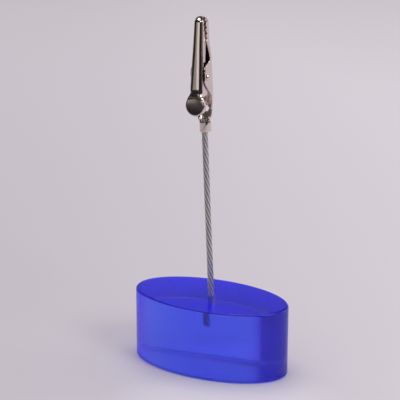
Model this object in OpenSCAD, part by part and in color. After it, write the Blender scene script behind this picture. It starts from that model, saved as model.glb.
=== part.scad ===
// Memo holder: an oval resin block, a wire rope stem and a sprung crocodile clip.
// Millimetres, +Z up. The origin is the centre of the block's underside.
// The clip has its own frame: its origin is the foot of the crimp barrel on the rope's axis,
// its thumb side faces -Y and the rivet lies along X.

/* [Base block] */
// Length of the oval block
base_length = 64; // [50:1:90]
// Width of the oval block
base_width = 33.2; // [26:0.2:46]
// Height of the block
base_height = 28.7; // [18:0.1:45]
// Radius of the polished top and bottom edges
base_edge = 1; // [0.4:0.1:2]
// Depth of the blind bore that holds the rope
bore_depth = 10.5; // [6:0.5:15]

/* [Rope stem] */
// Diameter of the wire rope
rope_d = 2.5; // [2:0.1:3]
// Free length of rope between the block and the clip
rope_free = 66.9; // [40:0.1:120]
// Length of rope in which an outer strand goes once round
rope_lay = 18; // [14:0.5:30]
// Length of rope that stands out above the crimp barrel
rope_proud = 1.3; // [0.5:0.1:2]
// Lean of the stem towards the block's -X end, in degrees
stem_lean = 2.5; // [0:0.1:6]

/* [Clip] */
// Thickness of the sheet that both jaws are stamped from
sheet = 0.4; // [0.3:0.05:0.5]
// Height of the pivot above the foot of the crimp barrel
pivot_height = 21.3; // [20:0.1:26]
// Distance of the pivot in front of the rope's axis
pivot_front = 1.9; // [1.4:0.1:2.4]
// Distance from the pivot to the tip of the crimp jaw
nose_reach = 22.7; // [20:0.1:28]
// Length of the toothed part of the nose
tooth_run = 10; // [6:0.5:12]
// Distance from tooth to tooth
tooth_pitch = 2.1; // [1.6:0.1:3]
// Height of a tooth
tooth_height = 0.7; // [0.3:0.1:1]

/* [Thumb jaw] */
// Width of the thumb jaw beside the pad
jaw_width = 4.8; // [4.5:0.1:5.6]
// Width of the thumb jaw at the nose
nose_width = 3.2; // [3:0.1:4]
// Radius of the round end of the nose
nose_round = 1.5; // [0.9:0.1:1.5]
// Radius of the thumb jaw's shoulders
shoulder = 1.3; // [1:0.1:1.5]
// Distance by which the thumb jaw's nose stops short of the crimp jaw's
nose_lag = 0.3; // [0:0.1:0.6]
// Height of the crown above the rope's axis beside the pad
crown_back = 7.7; // [7:0.05:9]
// Height of the crown above the rope's axis at the nose
crown_nose = 2.5; // [2.2:0.05:3.6]
// Width of the oval thumb pad
pad_width = 7.8; // [7:0.1:9]
// Length of the oval thumb pad
pad_length = 8.6; // [8:0.1:10]
// Distance from the pivot down to the middle of the pad
pad_drop = 9.8; // [9.4:0.05:11]
// Distance of the pad's face in front of the rope's axis
pad_front = 8; // [7.6:0.05:8.6]
// Depth of the pad's rolled rim
pad_rim = 1.9; // [1.6:0.1:2.2]
// Radius of the roll along the pad's rim
pad_roll = 1; // [0.6:0.05:1.1]
// Outward tilt of the pad, in degrees
pad_tilt = 7; // [2:1:12]

/* [Crimp jaw] */
// Distance of the crimp jaw's back behind the rope's axis
back_depth = 3.05; // [2.8:0.05:3.8]
// Distance of the crimp jaw's back behind the rope's axis at the nose
back_nose = 2.45; // [2.2:0.05:3]
// Width of the crimp jaw at the nose
back_nose_width = 4.7; // [4.6:0.1:5.2]
// Radius of the round end of the crimp jaw's nose
back_nose_round = 2.2; // [1:0.1:2.2]
// Radius along the crimp jaw's back edges
back_corner = 0.9; // [0.6:0.1:1.2]
// Reach of the pivot ears in front of the pivot
ear_reach = 2.3; // [2.2:0.05:3.2]
// Height of the pivot ears above the pivot
ear_top = 5.45; // [4.5:0.05:6]
// Distance of the tail's edges behind the rope's axis
tail_edge = 0.95; // [0.6:0.05:1.2]
// Diameter of the hole in the tail
tail_hole = 2.4; // [1.6:0.1:2.8]
// Height of the hole above the crimp barrel
tail_hole_up = 4.6; // [4.2:0.1:6]
// Height of the crimp barrel
barrel_height = 3.6; // [3:0.1:5]
// Room beside the rope in the flattened crimp barrel
barrel_room = 0.25; // [0.2:0.05:0.5]

/* [Rivet and spring] */
// Diameter of the rivet's shank
rivet_d = 1.6; // [1.2:0.1:2]
// Diameter of the rivet's heads
rivet_head_d = 2.6; // [2.2:0.1:3.4]
// Height of the rivet's heads
rivet_head = 0.5; // [0.3:0.05:0.8]
// Diameter of the spring's wire
spring_wire = 0.45; // [0.35:0.05:0.5]
// Inner diameter of the spring's coil
spring_bore = 2.5; // [2.3:0.1:3.2]
// Whole turns in the spring's coil
spring_turns = 3; // [2:1:3]

/* [Fits] */
// Radial clearance of the rope in its bore and in the crimp barrel
rope_fit = 0.05; // [0.03:0.01:0.1]
// Radial clearance of the rivet in the thumb jaw
pivot_fit = 0.04; // [0.02:0.01:0.08]
// Radial clearance of the rivet in the ears
rivet_fit = 0.01; // [0.01:0.01:0.03]
// Gap between the thumb jaw's walls and the ears
wall_gap = 0.14; // [0.1:0.01:0.25]
// Gap between the teeth of the closed jaws
tooth_gap = 0.12; // [0.08:0.01:0.2]
// Gap between a strand and its neighbours
strand_gap = 0.02; // [0.01:0.01:0.04]
// Gap between the spring and the sheet beside it
leg_gap = 0.1; // [0.05:0.01:0.15]

/* [Hidden] */

resin_colour = [0.25, 0.27, 0.80, 0.8];
rope_colour = [0.60, 0.60, 0.62];
nickel_colour = [0.78, 0.77, 0.75];
spring_colour = [0.50, 0.50, 0.52];

// Rope: six strands round a core, each strand an ellipse in the rope's cross-section
outer_strands = 6;
lay_angle = atan(2 * PI * rope_d / 3 / rope_lay);
strand_d = (rope_d / 2 - strand_gap) / (1 / cos(lay_angle) + 0.5);
lay_radius = (rope_d - strand_d) / 2;
core_d = 2 * lay_radius - strand_d - 2 * strand_gap;
rope_foot = bore_depth - rope_fit;
rope_length = rope_foot + rope_free + barrel_height + rope_proud;
slices_per_turn = 12;
strand_sides = 10;

// Heights in the clip's frame
tip = pivot_height + nose_reach;
thumb_tip = tip - nose_lag;
teeth_from = tip - tooth_run;
pad_z = pivot_height - pad_drop;
pad_clear = 0.5;
crown_from = pad_z + pad_length / 2 + pad_clear;
neck_length = 2.6;
neck_foot = crown_from - neck_length;
wall_skirt = 1.7;
wall_foot = crown_from - wall_skirt;
lobe_up = 1.7;
lobe_top = pivot_height + lobe_up;
ear_z = pivot_height + ear_top;
tail_drop = 7.3;
tail_top = pivot_height - tail_drop;
throat_length = 3.8;
tail_foot = barrel_height + throat_length;

// Half widths of the two jaws and of the crimp barrel
thumb_half = jaw_width / 2;
nose_half = nose_width / 2;
ear_inner = thumb_half + wall_gap;
ear_half = ear_inner + sheet;
tail_taper = 0.1;
tail_half = ear_half - tail_taper;
back_nose_half = back_nose_width / 2;
barrel_inner = rope_d / 2 + rope_fit;

// Pieces of one sheet run into each other by these amounts
weld = 0.04;
weld_run = 0.2;
throat_lap = 0.75 * sheet;
throat_half = barrel_inner + barrel_room + throat_lap;
throat_depth = barrel_inner + sheet - weld;

// Length of the cutting shapes past the jaws, and steps in a shoulder's arc
reach_out = 12;
cut_width = 4 * ear_half;
arc_steps = 6;

// The mating line of the closed teeth, a wave about the rope's axis
function mesh_y(z) = tooth_height / 2 * cos(360 * (tip - z) / tooth_pitch);
mesh_steps = 8 * round(tooth_run / tooth_pitch);
mesh_line = [for (i = [0:mesh_steps]) teeth_from + i * tooth_run / mesh_steps];

// Linear and smooth interpolation, both held at their ends
function ramp(z, z0, z1) = min(1, max(0, (z - z0) / (z1 - z0)));
function ease(s) = s * s * (3 - 2 * s);
function mix(a, b, s) = a + (b - a) * s;

// Half width, crown height and shoulder radius of the thumb jaw at height z
function thumb_w(z) = mix(thumb_half, nose_half, ramp(z, crown_from, tip));
function thumb_c(z) = mix(crown_back, crown_nose, ramp(z, crown_from, tip));
// The pad's face and half width at height z, and the neck that spreads from the channel to the pad
function pad_face(z) = pad_front - (z - pad_z) * tan(pad_tilt);
function pad_half(z) = pad_width / 2 * sqrt(1 - pow(2 * (z - pad_z) / pad_length, 2));
neck_half = pad_half(neck_foot);
function neck_w(z) = mix(neck_half, thumb_half, ease(ramp(z, neck_foot, crown_from))) - weld;
function neck_c(z) = mix(pad_face(z), crown_back, ease(ramp(z, neck_foot, crown_from))) - weld;
function neck_r(z) = mix(pad_roll, shoulder, ramp(z, neck_foot, crown_from));

// Half width, back depth and corner radius of the crimp jaw at height z
function crimp_w(z) =
  z > ear_z ? mix(ear_half, back_nose_half, ease(ramp(z, ear_z, teeth_from + tooth_pitch / 2)))
  : z > tail_foot ? mix(tail_half, ear_half, ease(ramp(z, tail_foot, tail_top)))
  : mix(throat_half, tail_half, ease(ramp(z, barrel_height, tail_foot)));
function crimp_c(z) =
  z > pivot_height ? mix(back_depth, back_nose, ramp(z, pivot_height, tip))
  : mix(throat_depth, back_depth, ramp(z, barrel_height, tail_top));
function crimp_r(z) = mix(throat_depth, back_corner, ease(ramp(z, barrel_height, tail_foot)));

// A channel's filled cross-section: crown towards -y, open side at y = reach_out
function channel(w, c, r) = concat(
  [[-w, reach_out]],
  [for (i = [0:arc_steps]) let (a = 180 + 90 * i / arc_steps) [r - w + r * cos(a), r - c + r * sin(a)]],
  [for (i = [0:arc_steps]) let (a = 270 + 90 * i / arc_steps) [w - r + r * cos(a), r - c + r * sin(a)]],
  [[w, reach_out]]
);

// Rows of a surface set in by o: a body's stations, and a round nose that ends at height top
nose_angles = [0:15:90];
least_flat = 0.02;
function row_at(z, w, c, r) = [z, channel(w, c, min(r, w - least_flat))];
function nose_in(o, a, round) = o + (round - o) * (1 - cos(a));
function nose_z(o, a, round, top) = top - round + (round - o) * sin(a);
function neck_rows(o, stations) = [for (z = stations) row_at(z, neck_w(z) - o, neck_c(z) - o, neck_r(z) - o)];
function thumb_rows(o, foot) = concat(
  [row_at(foot, thumb_w(foot) - o, thumb_c(foot) - o, shoulder - o)],
  [row_at(crown_from, thumb_half - o, crown_back - o, shoulder - o)],
  [for (a = nose_angles) let (z = nose_z(o, a, nose_round, thumb_tip), in = nose_in(o, a, nose_round))
    row_at(z, thumb_w(z) - in, thumb_c(z) - in, shoulder - o)]
);
function crimp_rows(o, stations) = concat(
  [for (z = stations) row_at(z, crimp_w(z) - o, crimp_c(z) - o, crimp_r(z) - o)],
  [for (a = nose_angles) let (z = nose_z(o, a, back_nose_round, tip), in = nose_in(o, a, back_nose_round))
    row_at(z, crimp_w(z) - in, crimp_c(z) - in, back_corner - o)]
);

// Skin through rows of cross-sections that have the same number of points
module loft(rows) {
  n = len(rows[0][1]);
  last = len(rows) - 1;
  points = [for (row = rows) for (p = row[1]) [p.x, p.y, row[0]]];
  sides = [for (i = [0:last - 1]) for (j = [0:n - 1])
    let (a = i * n + j, b = i * n + (j + 1) % n) each [[a, a + n, b + n], [a, b + n, b]]];
  foot = [[for (j = [0:n - 1]) j]];
  head = [[for (j = [n - 1:-1:0]) last * n + j]];
  polyhedron(points, concat(sides, foot, head));
}

// A sheet strip: rows of [z, outer path, inner path], closed along both edges and both ends
module strip(rows) {
  n = len(rows[0][1]);
  m = 2 * n;
  last = len(rows) - 1;
  points = [for (row = rows) for (p = concat(row[1], [for (j = [n - 1:-1:0]) row[2][j]])) [p.x, p.y, row[0]]];
  sides = [for (i = [0:last - 1]) for (j = [0:m - 1])
    let (a = i * m + j, b = i * m + (j + 1) % m) each [[a, a + m, b + m], [a, b + m, b]]];
  ends = [for (j = [0:n - 2]) let (k = m - 1 - j, t = last * m)
    each [[j, j + 1, k], [j + 1, k - 1, k], [t + j, t + k, t + j + 1], [t + j + 1, t + k, t + k - 1]]];
  polyhedron(points, concat(sides, ends));
}

// Places: on the leaning stem at the block's top, at the clip's foot, at the pivot
module on_stem() {
  translate([0, 0, base_height]) rotate([0, -stem_lean, 0]) children();
}
module on_clip() {
  on_stem() translate([0, 0, rope_free]) children();
}
module at_pivot() {
  translate([0, -pivot_front, pivot_height]) children();
}
// A side view, drawn as y across and z up, made wider than both jaws
module side_view() {
  rotate([90, 0, 90]) linear_extrude(cut_width, center = true) children();
}
module along_x(d, h) {
  rotate([0, 90, 0]) cylinder(d = d, h = h, center = true, $fn = 48);
}

// The oval block: a core with flat faces, a wall round it, a ring for each rounded edge,
// and a blind bore that follows the leaning stem
module base_block() {
  half = base_length / 2;
  flat = [1, base_width / base_length, 1];
  core_lap = base_edge / 5;
  color(resin_colour) difference() {
    union() {
      intersection() {
        translate([-half, -half, 0]) cube([base_length, base_length, base_height]);
        translate([0, 0, -base_edge]) linear_extrude(base_height + 2 * base_edge)
          scale(flat) circle(half - base_edge + core_lap, $fn = 96);
      }
      translate([0, 0, base_edge]) linear_extrude(base_height - 2 * base_edge) scale(flat) circle(half, $fn = 96);
      for (side = [0, 1]) translate([0, 0, side ? base_height - base_edge : base_edge]) mirror([0, 0, 1 - side])
        scale(flat) rotate_extrude($fn = 96) edge_section(half);
    }
    on_stem() translate([0, 0, -bore_depth]) cylinder(d = rope_d + 2 * rope_fit, h = 2 * bore_depth, $fn = 48);
  }
}
// Half section of the ring that carries a rounded edge, with its inner side sunk in the core
module edge_section(half) {
  edge_from = half - base_edge;
  intersection() {
    translate([edge_from, 0]) circle(base_edge, $fn = 48);
    translate([edge_from, 0]) square(base_edge);
  }
  polygon([[edge_from, 0], [edge_from, base_edge], [edge_from - base_edge, base_edge / 2], [edge_from - base_edge, 0]]);
}

// The straight centre strand of the rope
module rope_core_strand() {
  color(rope_colour) on_stem() translate([0, 0, -rope_foot]) cylinder(d = core_d, h = rope_length, $fn = 32);
}

// One outer strand, laid left-handed round the core
module rope_strand(k) {
  turns = rope_length / rope_lay;
  color(rope_colour) on_stem() translate([0, 0, -rope_foot]) rotate([0, 0, k * 360 / outer_strands])
    linear_extrude(rope_length, twist = 360 * turns, slices = ceil(slices_per_turn * turns))
      translate([lay_radius, 0]) scale([1, 1 / cos(lay_angle)]) circle(d = strand_d, $fn = strand_sides);
}

// The edge of the thumb jaw's walls in the side view: wall below the crown, lobe at the pivot, then the teeth
skirt = pad_rim - pad_front;
module thumb_side() {
  crown_foot = crown_from - weld_run / 2;
  wall_front = skirt - sheet;
  heel_back = 0.3;
  heel = heel_back - pivot_front;
  step = 0.4;
  wedge_y = -1.4;
  wedge_up = 1.6;
  wedge_z = ear_z + wedge_up;
  lobe_wall = 1.1;
  lobe_d = rivet_d + 2 * lobe_wall;
  polygon(concat(
    [[-reach_out, crown_foot], [wall_front, crown_foot], [wall_front, wall_foot], [heel, wall_foot],
     [heel + step, wall_foot + step], [heel + step, lobe_top], [wedge_y, wedge_z]],
    [for (z = mesh_line) [mesh_y(z) - tooth_gap / 2, z]],
    [[mesh_y(tip) - tooth_gap / 2, tip + 1], [-reach_out, tip + 1]]
  ));
  translate([-pivot_front, pivot_height]) circle(d = lobe_d, $fn = 48);
}

// An oval plate with its face at z = -o and its edge rolled down, set in by o
module rolled_oval(o, depth) {
  r = pad_width / 2;
  scale([1, pad_length / pad_width, 1]) rotate_extrude($fn = 64) {
    translate([0, -depth]) square([r - pad_roll, depth - o]);
    translate([0, -depth]) square([r - o, depth - pad_roll]);
    translate([r - pad_roll, -pad_roll]) circle(pad_roll - o, $fn = 32);
  }
}
// The thumb pad: a shell with a rolled rim, open where the neck runs into it
module thumb_pad() {
  room = 2 * pad_length;
  pad_end = neck_foot + weld_run;
  intersection() {
    translate([0, -pad_front, pad_z]) rotate([90 - pad_tilt, 0, 0]) difference() {
      rolled_oval(0, pad_rim);
      rolled_oval(sheet, 2 * pad_rim);
    }
    translate([-room / 2, -room, pad_end - room]) cube(room);
  }
}

// The neck between the channel and the pad
module thumb_neck() {
  neck_steps = 8;
  stations = [for (i = [0:neck_steps]) mix(neck_foot, crown_from, i / neck_steps)];
  intersection() {
    difference() {
      loft(neck_rows(0, stations));
      loft(neck_rows(sheet, concat([neck_foot - 1], stations, [crown_from + 1])));
    }
    side_view() translate([-reach_out, neck_foot - 1]) square([reach_out + skirt, pad_length]);
  }
}

// The moving half of the clip
module thumb_jaw() {
  color(nickel_colour) on_clip() difference() {
    union() {
      intersection() {
        difference() {
          loft(thumb_rows(0, wall_foot));
          loft(thumb_rows(sheet, wall_foot - 1));
        }
        side_view() thumb_side();
      }
      thumb_neck();
      thumb_pad();
    }
    at_pivot() along_x(rivet_d + 2 * pivot_fit, cut_width);
  }
}

// The edge of the crimp jaw's walls in the side view, from the crimp wings to the teeth:
// an S-curve back to the tail, a hollow flank up to the round heel and top of the ears, the wedge, the teeth
module crimp_side() {
  wing_front = 0.4;
  wing_rise = 0.8;
  sweep_rise = 3.8;
  sweep_from = barrel_height + wing_rise;
  sweep_to = sweep_from + sweep_rise;
  sweep_steps = 8;
  sweep = [for (i = [0:sweep_steps]) let (s = i / sweep_steps)
    [mix(-wing_front, tail_edge, ease(s)), mix(sweep_from, sweep_to, s)]];
  top_r = 4;
  heel_r = 2.4;
  front = -pivot_front - ear_reach;
  heel_drop = 0.8;
  heel_z = pivot_height - heel_drop;
  flank_r = 23;
  flank_from = 56;
  flank_steps = 8;
  flank_foot = [front + heel_r - heel_r * sin(flank_from), heel_z - heel_r * cos(flank_from)];
  flank_to = asin(sin(flank_from) - (tail_edge - flank_foot.x) / flank_r);
  flank = [for (i = [flank_steps:-1:0]) let (a = mix(flank_from, flank_to, i / flank_steps))
    flank_foot + flank_r * [sin(flank_from) - sin(a), cos(flank_from) - cos(a)]];
  wedge_in = [0.3, 1];
  wedge_up = [0.4, 1.4];
  wedge = [for (i = [0, 1]) [wedge_in[i], ear_z + wedge_up[i]]];
  polygon(concat(
    [[reach_out, barrel_height - weld_run], [-wing_front, barrel_height - weld_run]],
    sweep, flank,
    [[front + heel_r, heel_z], [front, heel_z], [front, ear_z - top_r],
     [front + top_r, ear_z - top_r], [front + top_r, ear_z]],
    wedge,
    [for (z = mesh_line) [mesh_y(z) + tooth_gap / 2, z]],
    [[mesh_y(tip) + tooth_gap / 2, tip + 1], [reach_out, tip + 1]]
  ));
  translate([front + heel_r, heel_z]) circle(heel_r, $fn = 64);
  intersection() {
    translate([front + top_r, ear_z - top_r]) circle(top_r, $fn = 96);
    translate([front, ear_z - top_r]) square(top_r);
  }
}

// The crimp barrel: two wings rolled into an oval round the rope, the right wing lapped over the left.
// The angle runs from the back of the barrel, positive round its left side.
left_wing = 215;
lap_low = -202;
lap_high = -120;
lap_gap = 0.25;
lap_steps = 8;
wing_steps = 36;
function roll(a) = barrel_inner + (sheet + lap_gap) * ease(ramp(-a, 0, 90));
function roll_point(a, r) = [-(r + barrel_room) * sin(a), r * cos(a)];
function lap(z) = [for (j = [0:lap_steps - 1])
  mix(mix(lap_low, lap_high - 1, z / barrel_height), lap_high, j / lap_steps)];
module crimp_barrel() {
  wing = [for (j = [0:wing_steps]) mix(lap_high, left_wing, j / wing_steps)];
  strip([for (z = [0, barrel_height]) let (turn = concat(lap(z), wing))
    [z, [for (a = turn) roll_point(a, roll(a) + sheet)], [for (a = turn) roll_point(a, roll(a))]]]);
}

// The fixed half of the clip, from the crimp barrel to the nose
module crimp_jaw() {
  low_steps = 10;
  high_steps = 8;
  low = [for (i = [0:low_steps]) mix(barrel_height - weld_run, tail_top, i / low_steps)];
  high = [for (i = [0:high_steps]) mix(ear_z, teeth_from + tooth_pitch / 2, i / high_steps)];
  stations = concat(low, [pivot_height], high);
  color(nickel_colour) on_clip() difference() {
    union() {
      intersection() {
        mirror([0, 1, 0]) difference() {
          loft(crimp_rows(0, stations));
          loft(crimp_rows(sheet, concat([barrel_height - 1], stations)));
        }
        side_view() crimp_side();
      }
      crimp_barrel();
    }
    at_pivot() along_x(rivet_d + 2 * rivet_fit, cut_width);
    translate([0, 0, barrel_height + tail_hole_up]) rotate([-90, 0, 0])
      cylinder(d = tail_hole, h = reach_out, $fn = 48);
  }
}

// The rivet: a shank with a domed head on each ear
module pivot_rivet() {
  seat = ear_half + rivet_fit;
  dome = (rivet_head_d * rivet_head_d / 4 + rivet_head * rivet_head) / (2 * rivet_head);
  color(nickel_colour) on_clip() at_pivot() {
    along_x(rivet_d, 2 * seat + rivet_head);
    for (side = [-1, 1]) rotate([0, 90 * side, 0]) translate([0, 0, seat]) rotate_extrude($fn = 64)
      intersection() {
        square([rivet_head_d / 2, rivet_head]);
        translate([0, rivet_head - dome]) circle(dome, $fn = 96);
      }
  }
}

// The spring's wire, seen along the rivet: down the thumb side, round the coil, down the tail side
coil_r = (spring_bore + spring_wire) / 2;
coil_side = thumb_w(pivot_height + coil_r) - sheet - spring_wire / 2 - leg_gap;
leg_inset = sheet + spring_wire / 2 + 2 * leg_gap;
leg_up = 0.4;
thumb_leg_z = crown_from + leg_up;
thumb_leg = [pivot_front - thumb_c(thumb_leg_z) + leg_inset, thumb_leg_z - pivot_height];
tail_leg_z = tail_top + leg_up;
tail_leg = [pivot_front + crimp_c(tail_leg_z) - leg_inset, tail_leg_z - pivot_height];
// Where a straight leg leaves the coil, on the side given by s
function leave(p, s) = atan2(p.y, p.x) + s * acos(coil_r / norm(p));
coil_from = leave(thumb_leg, -1) + 360;
coil_to = leave(tail_leg, 1) - 360 * spring_turns;
rings_per_turn = 12;
wire_sides = 6;
coil_rings = ceil(rings_per_turn * (coil_from - coil_to) / 360);
coil = [for (i = [0:coil_rings]) let (a = mix(coil_from, coil_to, i / coil_rings))
  [mix(coil_side, -coil_side, i / coil_rings), coil_r * cos(a), coil_r * sin(a)]];
wire = concat([[coil_side, thumb_leg.x, thumb_leg.y]], coil, [[-coil_side, tail_leg.x, tail_leg.y]]);

// Least gap between stretches of the wire that are not neighbours along it
function wire_gap(p, skip) = min([for (i = [0:len(p) - skip - 1]) for (j = [i + skip:len(p) - 1])
  norm(p[i] - p[j])]) - spring_wire;
echo(least_spring_gap = wire_gap(wire, ceil(rings_per_turn / 2)));

// A tube along points, with rings set square to the run between each point's neighbours
module tube(p, d, sides) {
  last = len(p) - 1;
  function along(i) = let (v = p[min(last, i + 1)] - p[max(0, i - 1)]) v / norm(v);
  function ring(i) = let (t = along(i), s0 = cross(t, [1, 0, 0]), s = s0 / norm(s0), u = cross(t, s))
    [for (k = [0:sides - 1]) p[i] + d / 2 * (cos(360 * k / sides) * s + sin(360 * k / sides) * u)];
  points = [for (i = [0:last]) each ring(i)];
  skin = [for (i = [0:last - 1]) for (k = [0:sides - 1])
    let (a = i * sides + k, b = i * sides + (k + 1) % sides) each [[a, a + sides, b + sides], [a, b + sides, b]]];
  ends = [for (k = [1:sides - 2]) each [[0, k, k + 1], [last * sides, last * sides + k + 1, last * sides + k]]];
  polyhedron(points, concat(skin, ends));
}

// The torsion spring round the rivet
module torsion_spring() {
  color(spring_colour) on_clip() at_pivot() tube(wire, spring_wire, wire_sides);
}

base_block();
rope_core_strand();
rope_strand(1);  // rope_strand_1
rope_strand(2);  // rope_strand_2
rope_strand(3);  // rope_strand_3
rope_strand(4);  // rope_strand_4
rope_strand(5);  // rope_strand_5
rope_strand(6);  // rope_strand_6
crimp_jaw();
thumb_jaw();
pivot_rivet();
torsion_spring();
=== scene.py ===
"""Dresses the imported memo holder: resin block, wire rope stem and sprung clip, with a plain stage."""
import math

import bmesh
import bpy
import numpy as np
from bpy.props import FloatProperty, FloatVectorProperty, IntProperty, PointerProperty
from mathutils import Matrix, Vector


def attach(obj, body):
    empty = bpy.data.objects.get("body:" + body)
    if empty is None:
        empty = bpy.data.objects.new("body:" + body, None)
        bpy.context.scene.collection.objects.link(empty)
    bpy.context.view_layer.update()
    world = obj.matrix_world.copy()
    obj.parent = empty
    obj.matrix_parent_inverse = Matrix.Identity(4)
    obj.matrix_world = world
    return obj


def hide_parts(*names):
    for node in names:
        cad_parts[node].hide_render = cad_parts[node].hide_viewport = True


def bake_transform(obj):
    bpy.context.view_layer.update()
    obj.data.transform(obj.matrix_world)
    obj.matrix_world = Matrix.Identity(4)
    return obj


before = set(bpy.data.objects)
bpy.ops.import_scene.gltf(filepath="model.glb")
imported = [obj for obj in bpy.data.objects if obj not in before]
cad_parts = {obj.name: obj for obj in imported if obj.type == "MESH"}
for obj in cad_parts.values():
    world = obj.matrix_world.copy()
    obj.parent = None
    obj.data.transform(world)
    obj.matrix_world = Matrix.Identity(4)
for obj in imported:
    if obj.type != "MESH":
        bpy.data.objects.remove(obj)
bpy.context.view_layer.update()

bl_info = {
    "name": "Memo holder",
    "version": (1, 0, 0),
    "blender": (4, 5, 0),
    "location": "3D View > Sidebar > Memo holder",
    "description": "Builds the resin block, rope stem and sprung clip of a desk memo holder",
    "category": "Object",
}

MM = 0.001
STAND = "stand"
THUMB = "thumb"


def length(name, about, mm, low=0.0):
    """A length property: its default is given in millimetres and kept in metres."""
    return FloatProperty(name=name, description=about, default=mm * MM, min=low, precision=5,
                         unit="LENGTH")


def angle(name, about, degrees):
    """An angle property: its default is given in degrees and kept in radians."""
    return FloatProperty(name=name, description=about, default=math.radians(degrees), subtype="ANGLE")


def colour(name, about, value):
    """A linear colour property."""
    return FloatVectorProperty(name=name, description=about, default=value, size=3, min=0, max=1,
                               subtype="COLOR")


def number(name, about, value, low=0.0, high=1.0):
    """A plain number property."""
    return FloatProperty(name=name, description=about, default=value, min=low, max=high, precision=3)


def power(name, about, watts):
    """A lamp's power property."""
    return FloatProperty(name=name, description=about, default=watts, min=0, unit="POWER")


class BlockSizes(bpy.types.PropertyGroup):
    """Sizes and colours of the resin block."""
    length: length("Length", "Long axis of the oval block", 64)
    width: length("Width", "Short axis of the oval block", 33.2)
    height: length("Height", "Height of the block", 28.7)
    edge: length("Edge", "Radius of the polished edges", 1)
    tint: colour("Tint", "Colour of the resin at its surface", (0.255, 0.48, 1.0))
    # Painted light on the flat top
    top_light_tint: colour("Top tint", "Colour of the flat top", (0.4, 0.54, 1.0))
    # Painted reflection of the rounded top edge: a dark line, with a pale highlight line below it
    edge_dark_reflection_tint: colour("Line tint", "Colour of the dark line along the top edge", (0.00765, 0.0144, 0.16))
    gleam_tint: colour("Gleam tint", "Colour of the pale line below it", (0.6, 0.65, 1.0))
    # Painted shade round the foot
    foot_shade_tint: colour("Foot tint", "Colour of the dull edge round the foot", (0.03825, 0.072, 0.15))
    # Painted shade at the oval's two ends
    end_shade_tint: colour("End tint", "Colour of the wall at the oval's two ends", (0.204, 0.192, 1.0))
    polish: number("Polish", "Roughness of the polished surface", 0.14)
    foot_dull: number("Foot dullness", "Roughness that is added at the foot", 0.4)
    end_dull: number("End dullness", "Roughness that is added at the oval's two ends", 0.11)
    milk: colour("Milk", "Colour of the resin's haze", (0.09, 0.06, 0.9))
    milkiness: number("Milkiness", "Share of the light that the haze turns back", 0.11)
    milk_depth: length("Milk depth", "Depth that light reaches in the haze", 6)
    dye: colour("Dye", "Colour that the dye lets through", (0.0976, 0.0244, 0.989))
    dye_strength: number("Dye strength", "Dye per metre of resin", 41, 0, 1000)
    bend: number("Refraction", "Refractive index of the resin", 1.49, 1, 2)
    shade: colour("Shade", "Colour of the light that goes straight through", (0.49, 0.475, 0.56))
    shade_share: number("Shade share", "Share of the light that goes straight through", 0.68)
    air: colour("Air", "Colour of the bubbles", (0.97, 0.97, 1.0))
    film: colour("Film", "Colour of the film on the bubbles", (0.9, 0.9, 1.0))


class RopeSizes(bpy.types.PropertyGroup):
    """Sizes and colours of the wire rope stem."""
    diameter: length("Diameter", "Diameter of the rope", 2.5)
    free: length("Free length", "Length between the block and the clip", 66.9)
    sunk: length("Sunk length", "Length inside the block", 10.45)
    proud: length("Proud length", "Length above the crimp barrel", 1.3)
    lay: length("Lay", "Length in which a strand goes once round", 18)
    wire_lay: length("Wire lay", "Length in which a wire goes once round its strand", 9)
    gap: length("Gap", "Gap between a strand and its neighbours", 0.02)
    lean: angle("Lean", "Lean towards the block's -X end", 2.5)
    steel: colour("Steel", "Colour of the drawn wire", (0.97, 0.94, 0.93))
    dull: number("Dullness", "Least roughness of the wire", 0.22)


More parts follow.
